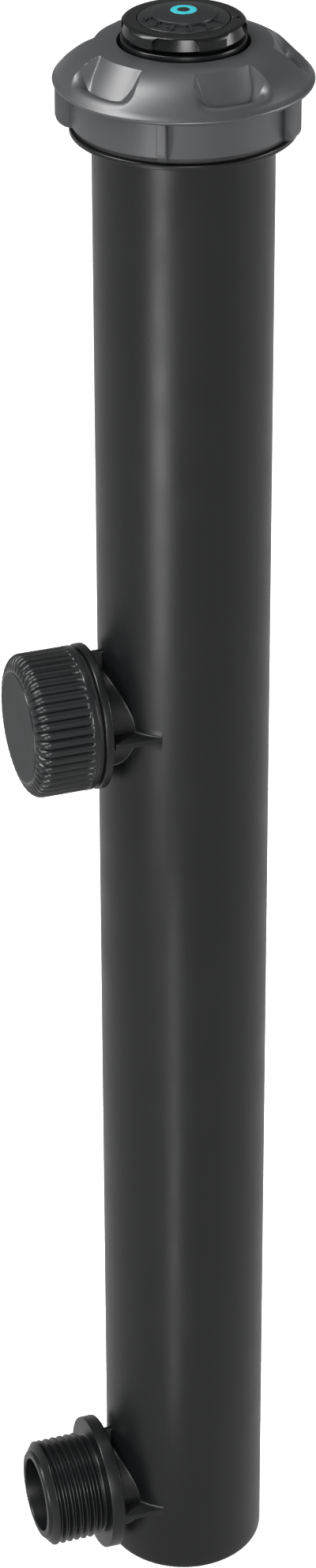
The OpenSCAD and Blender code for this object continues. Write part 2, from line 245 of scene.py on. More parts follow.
def grid_faces(columns, rows, wrap_columns, wrap_rows):
    """Quads between the points of a grid, which may close on itself either way."""
    faces = []
    for i in range(columns if wrap_columns else columns - 1):
        a = i * rows
        b = (i + 1) % columns * rows
        for j in range(rows if wrap_rows else rows - 1):
            k = (j + 1) % rows
            faces.append((a + j, b + j, b + k, a + k))
    return faces


def grid_piece(name, grid, wrap_columns=True, wrap_rows=True, sharp=35):
    """A mesh object from a grid of points, columns first."""
    columns, rows = grid.shape[:2]
    return mesh_piece(name, grid, grid_faces(columns, rows, wrap_columns, wrap_rows), sharp)


def around(angles, radii, heights):
    """Points at radii and heights round the Z axis, from arrays that broadcast together."""
    radii, heights, angles = np.broadcast_arrays(radii, heights, angles)
    return np.stack([radii * np.cos(angles), radii * np.sin(angles), heights], axis=-1)


def full_turn(columns):
    """The angles of a grid's columns, as one column of numbers."""
    return (np.arange(columns) * 2 * math.pi / columns)[:, None]


def lathe(name, outline, columns=128, sharp=35):
    """A closed outline of (radius, height) points turned about the Z axis."""
    section = np.array(outline, float)
    return grid_piece(name, around(full_turn(columns), section[:, 0], section[:, 1]), sharp=sharp)


def on_inlet(points, height):
    """Turns points that stand along +Z so that they point along -Y at a height."""
    return np.stack([points[..., 0], -points[..., 2], points[..., 1] + height], axis=-1)


def combine(piece, tool, how):
    """Joins a solid to a piece or cuts it away, and drops the solid. Point order may vary from run to run."""
    change = piece.modifiers.new("combine", "BOOLEAN")
    change.operation = how
    change.solver = "EXACT"
    change.object = tool
    graph = bpy.context.evaluated_depsgraph_get()
    result = bpy.data.meshes.new_from_object(piece.evaluated_get(graph))
    piece.modifiers.clear()
    old = piece.data
    piece.data = result
    bpy.data.meshes.remove(old)
    bpy.data.meshes.remove(tool.data)
    return piece


def mark_wear_and_highlight(mesh):
    """Stores how sharply each point of a mesh bends, from 0 on flat faces to 1 on edges, in two attributes.

    The first is for edges that stick out, which the materials paint lighter, partly as rubbing and partly as
    a painted highlight. The second, gloss, is for hollow corners as well, which a tool leaves smoother.
    """
    flat_bend = 0.5
    bend_span = 2.0
    points = np.zeros(len(mesh.vertices) * 3)
    normals = np.zeros(len(mesh.vertices) * 3)
    ends = np.zeros(len(mesh.edges) * 2, int)
    mesh.vertices.foreach_get("co", points)
    mesh.vertices.foreach_get("normal", normals)
    mesh.edges.foreach_get("vertices", ends)
    points = points.reshape(-1, 3) / MM
    normals = normals.reshape(-1, 3)
    bend = np.zeros(len(points))
    edges = np.zeros(len(points))
    for here, there in (ends.reshape(-1, 2).T, ends.reshape(-1, 2)[:, ::-1].T):
        step = points[there] - points[here]
        square = np.maximum(np.sum(step ** 2, axis=1), 1e-4)
        np.add.at(bend, here, -2 * np.sum(step * normals[here], axis=1) / square)
        np.add.at(edges, here, 1)
    sharpness = bend / np.maximum(edges, 1)
    # The first attribute drives lighter colour on convex edges: partly rubbing, partly a painted highlight
    for name, amount in (("wear_and_highlight", sharpness), ("gloss", np.abs(sharpness))):
        layer = mesh.attributes.new(name, "FLOAT", "POINT")
        layer.data.foreach_set("value", smooth_step((amount - flat_bend) / bend_span).astype(np.float32))


def stand_for(piece, material, *nodes):
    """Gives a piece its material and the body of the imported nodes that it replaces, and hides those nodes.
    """
    mark_wear_and_highlight(piece.data)
    piece.data.materials.clear()
    piece.data.materials.append(material)
    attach(piece, BODY_OF[nodes[0]])
    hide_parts(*nodes)
    return piece


# Materials

def linear(hex_colour):
    """An sRGB hex value as linear red, green, blue and alpha."""
    parts = [int(hex_colour[i:i + 2], 16) / 255 for i in (1, 3, 5)]
    return [p / 12.92 if p <= 0.04045 else ((p + 0.055) / 1.055) ** 2.4 for p in parts] + [1]


def shade(hex_colour, factor):
    """A linear colour made lighter or darker by a factor."""
    return [part * factor for part in linear(hex_colour)[:3]] + [1]


def add_node(tree, kind, settings=None, **inputs):
    """Adds a node with its settings. An input is a value or a socket to link from; _ stands for a space."""
    node = tree.nodes.new(kind)
    for key, value in (settings or {}).items():
        setattr(node, key, value)
    for key, value in inputs.items():
        name = key.replace("_", " ")
        socket = node.inputs[int(name[1:])] if name[1:].isdigit() else node.inputs[name]
        if isinstance(value, bpy.types.NodeSocket):
            tree.links.new(value, socket)
        else:
            socket.default_value = value
    return node


def new_material(name, **principled):
    """An empty node material. Returns the material, its tree, its principled shader and a place."""
    material = bpy.data.materials.new(name)
    material.use_nodes = True
    tree = material.node_tree
    shader = tree.nodes["Principled BSDF"]
    for key, value in principled.items():
        shader.inputs[key.replace("_", " ")].default_value = value
    place = add_node(tree, "ShaderNodeTexCoord").outputs["Object"]
    return material, tree, shader, place


def per_metre(millimetres):
    """The scale of a pattern whose features have this size."""
    return 1 / (millimetres * MM)


def moulded(name, colour, roughness, grain, grain_height, clouds=14, spread=0.12, edge=1.5, **principled):
    """Moulded plastic: grain of a size and height in mm, cloudy colour, and smoother edges painted lighter,
    partly as rubbing and partly as a painted highlight.
    """
    uneven = 0.04
    corner_gloss = 0.12
    material, tree, shader, place = new_material(name, **principled)
    cloud = add_node(tree, "ShaderNodeTexNoise", Vector=place, Scale=per_metre(clouds), Detail=3.0)
    fine = add_node(tree, "ShaderNodeTexNoise", Vector=place, Scale=per_metre(grain), Detail=2.0,
                    Roughness=0.6)
    mottle = add_node(tree, "ShaderNodeMixRGB", Fac=cloud.outputs["Fac"],
                      Color1=shade(colour, 1 - spread), Color2=shade(colour, 1 + spread))
    speck = add_node(tree, "ShaderNodeMapRange", Value=fine.outputs["Fac"],
                     From_Min=0.3, From_Max=0.7, To_Min=1 - spread, To_Max=1 + spread)
    grainy = add_node(tree, "ShaderNodeVectorMath", {"operation": "SCALE"},
                      _0=mottle.outputs["Color"], Scale=speck.outputs["Result"])
    # Convex edges are painted lighter in patches: partly rubbing, partly a painted highlight
    edge_wear_and_highlight = add_node(tree, "ShaderNodeAttribute", {"attribute_name": "wear_and_highlight"}).outputs["Fac"]
    rub_and_highlight = add_node(tree, "ShaderNodeMath", {"operation": "MULTIPLY"}, _0=edge_wear_and_highlight, _1=cloud.outputs["Fac"])
    tint = add_node(tree, "ShaderNodeMixRGB", Fac=rub_and_highlight.outputs["Value"], Color1=grainy.outputs["Vector"],
                    Color2=shade(colour, edge))
    tree.links.new(tint.outputs["Color"], shader.inputs["Base Color"])
    polish = add_node(tree, "ShaderNodeMapRange", Value=cloud.outputs["Fac"], From_Min=0.25, From_Max=0.75,
                      To_Min=roughness - uneven, To_Max=roughness + uneven)
    gloss = add_node(tree, "ShaderNodeAttribute", {"attribute_name": "gloss"}).outputs["Fac"]
    smooth = add_node(tree, "ShaderNodeMath", {"operation": "MULTIPLY_ADD"}, _0=gloss, _1=-corner_gloss,
                      _2=polish.outputs["Result"])
    tree.links.new(smooth.outputs["Value"], shader.inputs["Roughness"])
    bump = add_node(tree, "ShaderNodeBump", Height=fine.outputs["Fac"], Strength=1.0,
                    Distance=grain_height * MM)
    tree.links.new(bump.outputs["Normal"], shader.inputs["Normal"])
    return material


def case_plastic(finishes):
    """Black polypropylene, moulded in an eroded tool: satin, with a grain that breaks up highlights."""
    return moulded("polypropylene_eroded_black", finishes.case, roughness=0.37, grain=0.45,
                   grain_height=0.018, spread=0.10, IOR=1.49, Specular_IOR_Level=0.35)


def cap_plastic(finishes):
    """Grey ABS, moulded in an eroded tool: an even satin that shows every change of slope."""
    return moulded("abs_eroded_grey", finishes.cap, roughness=0.42, grain=0.4, grain_height=0.018,
                   spread=0.09, edge=1.5, IOR=1.53, Specular_IOR_Level=0.7)


def side_cap_plastic(finishes):
    """Black polypropylene, moulded in a polished tool: highlights that run along each ridge."""
    return moulded("polypropylene_moulded_black", finishes.side_cap, roughness=0.33, grain=0.5,
                   grain_height=0.006, spread=0.08, IOR=1.49, Specular_IOR_Level=0.35)


def face_plastic(finishes):
    """The eroded face of the same moulding: flat, matte and paler than its ridges."""
    return moulded("polypropylene_eroded_face", finishes.face, roughness=0.6, grain=0.35,
                   grain_height=0.012, spread=0.08, IOR=1.49, Specular_IOR_Level=0.25)


def head_plastic(finishes):
    """Black acetal, moulded in a polished tool: a soft gloss, with clear highlights on its shoulder."""
    return moulded("acetal_moulded_black", finishes.head, roughness=0.30, grain=0.6, grain_height=0.004,
                   spread=0.08, IOR=1.48, Specular_IOR_Level=0.35)


def dial_plastic(finishes):
    """Dark grey ABS, moulded and fine satin: numbers show by their shading only."""
    return moulded("abs_moulded_dark_grey", finishes.dial, roughness=0.45, grain=0.3,
                   grain_height=0.006, spread=0.06, IOR=1.53, Specular_IOR_Level=0.3)


def marker_plastic(finishes):
    """Turquoise ABS, moulded in a polished tool: a clean bright colour with a faint sheen."""
    return moulded("abs_moulded_turquoise", finishes.marker, roughness=0.35, grain=0.4,
                   grain_height=0.003, spread=0.03, edge=1.1, IOR=1.53)


def seal_rubber(finishes):
    """Nitrile rubber, press moulded: matte, with an uneven tone."""
    return moulded("nitrile_rubber_moulded", finishes.rubber, roughness=0.62, grain=0.25,
                   grain_height=0.010, spread=0.2, IOR=1.52)


def stem_plastic(finishes):
    """Black acetal, moulded in a polished tool: the smooth stem that the seal wipes."""
    return moulded("acetal_polished_black", finishes.stem, roughness=0.24, grain=0.6,
                   grain_height=0.003, spread=0.08, IOR=1.48)


def natural_plastic(finishes):
    """Natural acetal, moulded: milky white that lets a little light in."""
    return moulded("acetal_moulded_natural", finishes.natural, roughness=0.38, grain=0.5,
                   grain_height=0.004, spread=0.03, edge=1.02, IOR=1.48, Subsurface_Weight=0.1,
                   Subsurface_Radius=(0.001, 0.001, 0.001))


def spring_steel(finishes):
    """Stainless steel, drawn: a fine mottle and a blurred bright reflection."""
    material, tree, shader, place = new_material("stainless_steel_drawn", Metallic=1.0)
    mottle = add_node(tree, "ShaderNodeTexNoise", Vector=place, Scale=per_metre(0.35), Detail=4.0)
    tone = add_node(tree, "ShaderNodeMixRGB", Fac=mottle.outputs["Fac"], Color1=shade(finishes.steel, 0.75),
                    Color2=shade(finishes.steel, 1.05))
    tree.links.new(tone.outputs["Color"], shader.inputs["Base Color"])
    polish = add_node(tree, "ShaderNodeMapRange", Value=mottle.outputs["Fac"], To_Min=0.22, To_Max=0.42)
    tree.links.new(polish.outputs["Result"], shader.inputs["Roughness"])
    bump = add_node(tree, "ShaderNodeBump", Height=mottle.outputs["Fac"], Distance=0.004 * MM)
    tree.links.new(bump.outputs["Normal"], shader.inputs["Normal"])
    return material


def nylon_gauze(finishes):
    """Nylon gauze, woven: crossed white threads, drawn 3 mm apart, far coarser than the real ones."""
    # At this scale the wave texture repeats about every 3.1 mm
    repeat = 100.0
    material, tree, shader, place = new_material("nylon_gauze_woven", Roughness=0.5, IOR=1.53)
    warp = add_node(tree, "ShaderNodeTexWave", {"bands_direction": "Z"}, Vector=place, Scale=repeat)
    weft = add_node(tree, "ShaderNodeTexWave", {"wave_type": "RINGS", "rings_direction": "Z"}, Vector=place,
                    Scale=repeat)
    weave = add_node(tree, "ShaderNodeMath", {"operation": "MULTIPLY"}, _0=warp.outputs["Fac"],
                     _1=weft.outputs["Fac"])
    tone = add_node(tree, "ShaderNodeMixRGB", Fac=weave.outputs["Value"],
                    Color1=shade(finishes.gauze, 0.55), Color2=linear(finishes.gauze))
    tree.links.new(tone.outputs["Color"], shader.inputs["Base Color"])
    bump = add_node(tree, "ShaderNodeBump", Height=weave.outputs["Value"], Distance=0.1 * MM)
    tree.links.new(bump.outputs["Normal"], shader.inputs["Normal"])
    return material


def light_table(finishes):
    """Opal acrylic sheet, extruded and lit from below: an even white ground on which shadows stay faint."""
    material, tree, shader, place = new_material(
        "acrylic_opal_lit_sheet", Roughness=0.9, Specular_IOR_Level=0.1,
        Emission_Color=(1, 1, 1, 1), Emission_Strength=0.75)
    cloud = add_node(tree, "ShaderNodeTexNoise", Vector=place, Scale=per_metre(400), Detail=2.0)
    tone = add_node(tree, "ShaderNodeMixRGB", Fac=cloud.outputs["Fac"], Color1=shade(finishes.floor, 0.99),
                    Color2=linear(finishes.floor))
    tree.links.new(tone.outputs["Color"], shader.inputs["Base Color"])
    return material


# Threads

THREAD_SHAPE = ((-0.5, 0), (-0.42, 0.03), (-0.34, 0.16), (-0.15, 0.84), (-0.08, 0.97),
                (0, 1), (0.08, 0.97), (0.15, 0.84), (0.34, 0.16), (0.42, 0.03))


def thread_heights(distance, share, start, pitch, lead):
    """Height of a right-hand thread, from 0 to 1, at distances along it and shares of a turn round it."""
    turns = (distance - start) / pitch - share
    nearest = np.round(turns)
    fraction = [f for f, _ in THREAD_SHAPE] + [0.5]
    height = [h for _, h in THREAD_SHAPE] + [0]
    return np.interp(turns - nearest, fraction, height) * smooth_step((nearest + share) / lead)


def thread_rows(columns, start, pitch, low_end, high_end, lead=0.15):
    """Distances and heights of a thread's grid: rows follow the helix and stop at both ends."""
    share = (np.arange(columns + 1) / columns)[:, None]
    first = math.floor((low_end - start) / pitch) - 2
    last = math.ceil((high_end - start) / pitch) + 1
    rows = np.array([turn + f for turn in range(first, last + 1) for f, _ in THREAD_SHAPE])
    distance = np.clip(start + pitch * (rows[None, :] + share), low_end, high_end)
    return distance, thread_heights(distance, share, start, pitch, lead)


# The case

INLET_COLUMNS = 144
INLET_PHASE = math.radians(-120)
THREAD_DEPTH = 1.16
FILLET = 0.6
WEB_FILLET = 0.5
WEB_EDGE = 0.2
# How deep the rounded corners dip into the tube, so that the solids overlap
DIP = 0.02


def inlet_solid(case, inlet, reach, flange_front, flange_thick, crests, height):
    """One male inlet with its water way, from inside the tube out to its mouth."""
    columns = INLET_COLUMNS
    angle = INLET_PHASE + (np.arange(columns + 1) * 2 * math.pi / columns)[:, None]
    root = inlet.crest_radius - THREAD_DEPTH
    pilot = 2.1
    crest_at = reach - pilot
    ring_at = crest_at - 0.12
    inner_end = 12.0
    rows = []

    def ring(radius, distance):
        """Adds a row that runs straight round the inlet."""
        rows.append(around(angle, np.full((1, 1), radius), np.full((1, 1), distance)))

    # Water way, mouth, pilot and the lead-in cone of the thread
    ring(inlet.bore_radius, inner_end)
    ring(inlet.bore_radius, flange_front)
    mouth = rounded([(inlet.bore_radius, flange_front + 1, 0), (inlet.bore_radius, reach, 0.35),
                     (11.2, reach, 0.8), (11.3, crest_at + 1.35, 0), (11.75, crest_at + 1.2, 0),
                     (inlet.crest_radius, crest_at, 0.12), (inlet.crest_radius, ring_at - 0.1, 0)], 6)
    for radius, distance in mouth:
        ring(radius, distance)
    # Thread, from the mouth back to the flange
    visible_share = 0.444
    first_crest = crest_at - (crests - 1) * inlet.pitch
    start = first_crest - visible_share * inlet.pitch
    distance, heights = thread_rows(columns, start, inlet.pitch, flange_front + 0.45, ring_at - 0.1)
    radius = root + (inlet.crest_radius - root) * heights
    rows.append(around(angle, radius, distance)[:, ::-1])
    # Flange, with a soft step at its root
    rear = flange_front - flange_thick
    for radius, distance in rounded([(root, flange_front + 0.4, 0), (root, flange_front, 0.35),
                                     (inlet.flange_radius, flange_front, 0.3),
                                     (inlet.flange_radius, rear, 0.3), (inlet.boss_radius, rear, 0.25),
                                     (inlet.boss_radius, rear - 0.35, 0)], 4):
        ring(radius, distance)
    # Fillet where the boss meets the tube: a ball rolled between the two cylinders
    centre_x = (inlet.boss_radius + FILLET) * np.cos(angle)
    centre_y = (inlet.boss_radius + FILLET) * np.sin(angle)
    off_axis = case.tube_radius + FILLET - DIP
    centre_s = np.sqrt(off_axis ** 2 - centre_x ** 2)
    centre = np.stack([centre_x, centre_y, centre_s], axis=-1)
    to_boss = -np.stack([np.cos(angle), np.sin(angle), np.zeros_like(angle)], axis=-1)
    to_tube = -np.stack([centre_x, np.zeros_like(angle), centre_s], axis=-1) / off_axis
    between = np.arccos(np.sum(to_boss * to_tube, axis=-1, keepdims=True))
    for t in np.linspace(0, 1, 9):
        arm = (np.sin((1 - t) * between) * to_boss + np.sin(t * between) * to_tube) / np.sin(between)
        rows.append(centre + FILLET * arm)
    rows.append(centre + (FILLET + 0.6) * to_tube)
    ring(inlet.boss_radius, inner_end)
    grid = on_inlet(np.concatenate(rows, axis=1), height)
    return grid_piece("inlet", grid, wrap_columns=False)


def side_web(case, inlet, height, side):
    """A level web between the flange and the tube, on one side of the inlet."""
    half = inlet.web / 2
    fillet = WEB_FILLET
    edge = WEB_EDGE
    centre_r = case.tube_radius + fillet - DIP
    first_turn = 25
    last_turn = 58.5
    sweep = np.radians(np.linspace(first_turn, last_turn, 60))[:, None]
    # The webs end inside the lower inlet's flange, and 0.4 mm short of the upper inlet's
    flange_rear = 21.6
    outer = np.minimum(inlet.web_reach / np.sin(sweep), flange_rear / np.cos(sweep))
    near = np.concatenate([[case.tube_radius - 0.8], np.linspace(case.tube_radius - DIP, centre_r, 7)])
    rise = fillet - np.sqrt(np.maximum(fillet ** 2 - (centre_r - near) ** 2, 0))
    rise[0] = fillet
    radii = [np.minimum(near[None, :], outer)]
    lifts = [np.broadcast_to(half + rise, (len(sweep), len(near)))]
    for t in np.radians([0, 30, 60, 90]):
        radii.append(np.maximum(outer - edge + edge * np.sin(t), np.minimum(centre_r, outer)))
        lifts.append(np.full_like(outer, half - edge + edge * np.cos(t)))
    radius = np.concatenate(radii, axis=1)
    lift = np.concatenate(lifts, axis=1)
    radius = np.concatenate([radius, radius[:, ::-1]], axis=1)
    lift = np.concatenate([lift, -lift[:, ::-1]], axis=1)
    angle = -math.pi / 2 + side * sweep
    grid = around(angle, radius, lift + height)
    web = grid_piece("web", grid, wrap_columns=False)
    return close_ends(web)


def close_ends(piece):
    """Fills the open ends of a swept piece."""
    work = bmesh.new()
    work.from_mesh(piece.data)
    bmesh.ops.holes_fill(work, edges=[edge for edge in work.edges if edge.is_boundary])
    bmesh.ops.recalc_face_normals(work, faces=work.faces)
    work.to_mesh(piece.data)
    work.free()
    return piece


def upright_web(case, inlet, height, side, flange_rear):
    """An upright web between the flange and the tube, above or below the inlet."""
    half = inlet.web / 2
    fillet = WEB_FILLET
    edge = WEB_EDGE
    centre_x = half + fillet
    centre_s = math.sqrt((case.tube_radius + fillet - DIP) ** 2 - centre_x ** 2)
    slope = math.atan2(centre_x, centre_s)
    section = [(half, flange_rear + 0.4)]
    for t in np.linspace(math.pi, 3 * math.pi / 2 - slope, 7):
        section.append((centre_x + fillet * math.cos(t), centre_s + fillet * math.sin(t)))
    section.append((section[-1][0], case.tube_radius - 1.2))
    section = section + [(-x, s) for x, s in reversed(section)]
    section = np.array(section)
    lifts = [inlet.boss_radius - 1.5, inlet.web_reach - edge]
    layers = [np.stack([section[:, 0], np.full(len(section), lift), section[:, 1]], axis=-1)
              for lift in lifts]
    for t in np.radians([30, 60, 90]):
        inset = edge * (1 - math.cos(t))
        x = section[:, 0] - np.sign(section[:, 0]) * inset
        layers.append(np.stack([x, np.full(len(x), inlet.web_reach - edge + edge * math.sin(t)),
                                section[:, 1]], axis=-1))
    grid = np.array(layers)
    grid[..., 1] *= side
    web = grid_piece("web", on_inlet(grid, height), wrap_columns=False)
    return close_ends(web)


def neck_solid(case):
    """The neck of the case with its thread."""
    columns = 192
    angle = (np.arange(columns + 1) * 2 * math.pi / columns)[:, None]
    low_end = case.shoulder_height + 0.6
    high_end = case.neck_top - 0.9
    first_crest = case.shoulder_height + 1.6
    run_out = 1.2
    distance, heights = thread_rows(columns, first_crest, case.neck_pitch, low_end, high_end)
    fade = smooth_step((high_end - distance) / run_out)
    radius = case.neck_radius + (case.neck_crest - case.neck_radius) * heights * fade
    plain = [(0, case.shoulder_height - 0.6), (case.neck_radius, case.shoulder_height - 0.6),
             (case.neck_radius, low_end - 0.1)]
    top = [(case.neck_radius, high_end + 0.1), (case.neck_radius, case.neck_top - 0.3),
           (case.neck_radius - 0.3, case.neck_top), (0, case.neck_top)]
    rows = [around(angle, np.array([[p[0]]]), np.array([[p[1]]])) for p in plain]
    rows.append(around(angle, radius, distance))
    rows += [around(angle, np.array([[p[0]]]), np.array([[p[1]]])) for p in top]
    return grid_piece("neck", np.concatenate(rows, axis=1), wrap_columns=False, wrap_rows=False)


def box_solid(low_corner, high_corner):
    """A plain block, used only to cut or to join."""
    x, y, z = zip(low_corner, high_corner)
    points = [(x[i], y[j], z[k]) for i in (0, 1) for j in (0, 1) for k in (0, 1)]
    faces = [(0, 1, 3, 2), (4, 6, 7, 5), (0, 4, 5, 1), (2, 3, 7, 6), (0, 2, 6, 4), (1, 5, 7, 3)]
    return mesh_piece("block", points, faces)


def cylinder_solid(radius, low_end, high_end, columns=128):
    """A plain round bar about the Z axis, used only to cut or to join."""
    return lathe("bar", [(0, low_end), (radius, low_end), (radius, high_end), (0, high_end)], columns)


class SPRINKLER_OT_case(bpy.types.Operator):
    """Build the case with its neck, its two threaded inlets and their webs"""

    bl_idname = "sprinkler.case"
    bl_label = "Case"

    def execute(self, context):
        case = in_mm(context.scene.sprinkler_case)
        inlet = in_mm(context.scene.sprinkler_inlets)
        levels = np.arange(4, case.shoulder_height - 6, 6.0)
        corners = [(0, 0, 0), (case.tube_radius, 0, case.base_round)]
        corners += [(case.tube_radius, level, 0) for level in levels]
        corners += [(case.tube_radius, case.shoulder_height - case.shoulder_thick, 0.5),
                    (case.shoulder_radius, case.shoulder_height - case.shoulder_thick, 0.25),
                    (case.shoulder_radius, case.shoulder_height, 0.25), (0, case.shoulder_height, 0)]
        piece = lathe("case_moulding", rounded(corners), 256)
        for height in (inlet.low_height, inlet.side_height):
            bar = cylinder_solid(inlet.bore_radius + 0.4, 0, 30)
            move(bar, lambda points, level=height: on_inlet(points, level))
            combine(piece, bar, "DIFFERENCE")
        spigots = ({"reach": inlet.reach, "flange_front": 24.5, "flange_thick": 3.4, "crests": 7,
                    "height": inlet.low_height},
                   {"reach": inlet.reach - 2.2, "flange_front": 23.9, "flange_thick": 1.9, "crests": 6,
                    "height": inlet.side_height})
        for spigot in spigots:
            combine(piece, inlet_solid(case, inlet, **spigot), "UNION")
            rear = spigot["flange_front"] - spigot["flange_thick"]
            for side in (-1, 1):
                combine(piece, side_web(case, inlet, spigot["height"], side), "UNION")
                combine(piece, upright_web(case, inlet, spigot["height"], side, rear), "UNION")
        combine(piece, neck_solid(case), "UNION")
        bore = case.tube_radius - case.wall
        inside = [(0, case.floor, 0), (bore, case.floor, 0.8)]
        inside += [(bore, level, 0) for level in levels[1:]]
        inside += [(bore, case.neck_top - 0.5, 0), (bore + 0.6, case.neck_top + 0.1, 0),
                   (bore + 0.6, case.neck_top + 2, 0), (0, case.neck_top + 2, 0)]
        combine(piece, lathe("inside", rounded(inside), 192), "DIFFERENCE")
        for side in (-1, 1):
            reach = sorted((side * (bore - 1.2), side * (bore + 0.5)))
            combine(piece, box_solid((reach[0], -1, case.floor - 0.2),
                                     (reach[1], 1, case.shoulder_height - 8)), "UNION")
        tidy_piece(piece, 32)
        stand_for(piece, MATERIALS["case"], "case_tube")
        return {"FINISHED"}


def move(piece, change):
    """Puts a piece's points, in millimetres, through a function."""
    points = np.zeros(len(piece.data.vertices) * 3)
    piece.data.vertices.foreach_get("co", points)
    moved = change(points.reshape(-1, 3) / MM) * MM
    piece.data.vertices.foreach_set("co", moved.ravel())
    piece.data.update()
    return piece


# The seals

class SPRINKLER_OT_seals(bpy.types.Operator):
    """Build the cap's seal ring and the side cap's gasket"""

    bl_idname = "sprinkler.seals"
    bl_label = "Seals"

    def execute(self, context):
        case = in_mm(context.scene.sprinkler_case)
        inlet = in_mm(context.scene.sprinkler_inlets)
        bottom = case.shoulder_height
        top = bottom + 1.1
        inner = 21.8
        outer = 23.4
        ring = lathe("cap_seal", rounded([(inner, bottom, 0.2), (outer, bottom, 0.3),
                                          (outer, top, 0.3), (inner, top, 0.2)]), 160)
        stand_for(ring, MATERIALS["rubber"], "cap_seal_ring")
        inner = inlet.crest_radius + 0.1
        outer = 15.6
        rear = 23.92
        front = 25.02
        gasket = lathe("side_gasket", rounded([(inner, rear, 0.1), (outer, rear, 0.3),
                                               (outer, front, 0.3), (inner, front, 0.1)]), 128)
        move(gasket, lambda points: on_inlet(points, inlet.side_height))
        stand_for(gasket, MATERIALS["rubber"], "side_cap_gasket")
        return {"FINISHED"}


# The side inlet's cap

class SPRINKLER_OT_side_cap(bpy.types.Operator):
    """Build the knurled cap of the side inlet"""

    bl_idname = "sprinkler.side_cap"
    bl_label = "Side cap"

    def execute(self, context):
        inlet = in_mm(context.scene.sprinkler_inlets)
        radius = 16.5
        rear = 25.05
        face = inlet.reach
        ridges = 48
        per_ridge = 10
        groove = 0.62
        columns = ridges * per_ridge
        angle = full_turn(columns)
        share = np.abs((np.arange(columns) % per_ridge) / per_ridge - 0.5)[:, None] * 2
        groove_shape = 2.6
        notch = share ** groove_shape
        rounding = 2.8
        disc = 12.6
        collar = 1.45
        run_in = 0.55
        recess = 0.2
        fade_from = 0.6
        bore = inlet.crest_radius + 0.3
        rows = []

        def ring(r, s, depth=0.0, lean=0.0):
            """Adds a row; depth is how far the grooves sink, and lean the slope that they sink along."""
            sink = depth * notch
            rows.append(around(angle, r - sink * math.cos(lean), s - sink * math.sin(lean)))

        for r, s in rounded([(bore, face - 2.5, 0), (bore, rear, 0.3), (radius + 0.05, rear, 0.25),
                             (radius + 0.05, rear + 1.3, 0.1)], 4)[:-1]:
            ring(r, s)
        ring(radius + 0.05, rear + 1.3)
        ring(radius, rear + collar)
        for t in np.linspace(0.1, 1, 5):
            ring(radius, rear + collar + run_in * t, groove * t)
        full_depth = rear + collar + run_in
        shoulder = face - recess - rounding
        for t in np.linspace(0, 1, 8)[1:-1]:
            ring(radius, full_depth + t * (shoulder - full_depth), groove)
        steps = 14
        inward = radius - disc - 0.1
        for k in range(steps + 1):
            lean = math.pi / 2 * k / steps
            fade = 1 - smooth_step((k / steps - fade_from) / (1 - fade_from))
            ring(radius - inward + inward * math.cos(lean), shoulder + rounding * math.sin(lean),
                 groove * fade, lean)
        for r, s in rounded([(disc + 0.05, face - recess, 0), (disc, face, 0.12),
                             (disc - 1.5, face, 0)], 3)[1:]:
            ring(r, s)
        for r in (8.0, 4.0, 0.0):
            ring(r, face)
        end_wall = 1.6
        ring(0.0, face - end_wall)
        ring(bore - 1, face - end_wall)
        grid = on_inlet(np.concatenate(rows, axis=1), inlet.side_height)
        cap = grid_piece("side_cap", grid, sharp=40)
        stand_for(cap, MATERIALS["side_cap"], "side_inlet_cap")
        cap.data.materials.append(MATERIALS["face"])
        for polygon in cap.data.polygons:
            if polygon.center.y < -(face - 0.05) * MM:
                polygon.material_index = 1
        return {"FINISHED"}


# The body cap

CROWN_DROP = 0.00933
CROWN_CURVE = 2.6
RIM_DROP = 8.05
GRIP_PHASE = math.radians(7)
RIB_PHASE = math.radians(-29)


def crown_height(cap, radius):
    """Height of the crown's smooth surface at a radius, without its rim."""
    return cap.top - CROWN_DROP * np.maximum(radius - cap.hole_radius, 0) ** CROWN_CURVE


def pocket_distance(across, radius, half_width, end, corner):
    """Distance outside a pocket that opens inward and has two round corners; negative inside it."""
    qx = np.abs(across) - (half_width - corner)
    qr = radius - (end - corner)
    outside = np.hypot(np.maximum(qx, 0), np.maximum(qr, 0))
    return outside + np.minimum(np.maximum(qx, qr), 0) - corner


def gripped_height(cap, radius, angle):
    """Height of the crown with its grips: a sunk slope inside a wall that widens outward."""
    crown = crown_height(cap, radius)
    inner = 18.9
    slope_end = 23.1
    outline_end = 26.6
    floor_drop = 7.0
    floor_corner = 2.4
    outline_corner = 3.0
    wall_shape = 1.25
    sector = 2 * math.pi / cap.grips
    local = (angle - GRIP_PHASE + sector / 2) % sector - sector / 2
    across = radius * np.sin(local)
    along = np.clip((radius - inner) / (slope_end - inner), 0, 1)
    floor = crown_height(cap, inner) + (cap.top - floor_drop - crown_height(cap, inner)) * along
    half_floor = 6 - 0.6 * along
    half_outline = 6.1 + 2.5 * np.clip((radius - inner) / 5, 0, 1.3) ** 0.8
    to_floor = np.maximum(pocket_distance(across, radius, half_floor, slope_end, floor_corner), 0)
    to_outline = -pocket_distance(across, radius, half_outline, outline_end, outline_corner)
    share = to_floor / np.maximum(to_floor + np.maximum(to_outline, 0), 1e-6)
    sunk = floor + (crown - floor) * share ** wall_shape
    inside = (to_outline > 0) & (radius > inner)
    return np.where(inside, np.minimum(sunk, crown), crown)


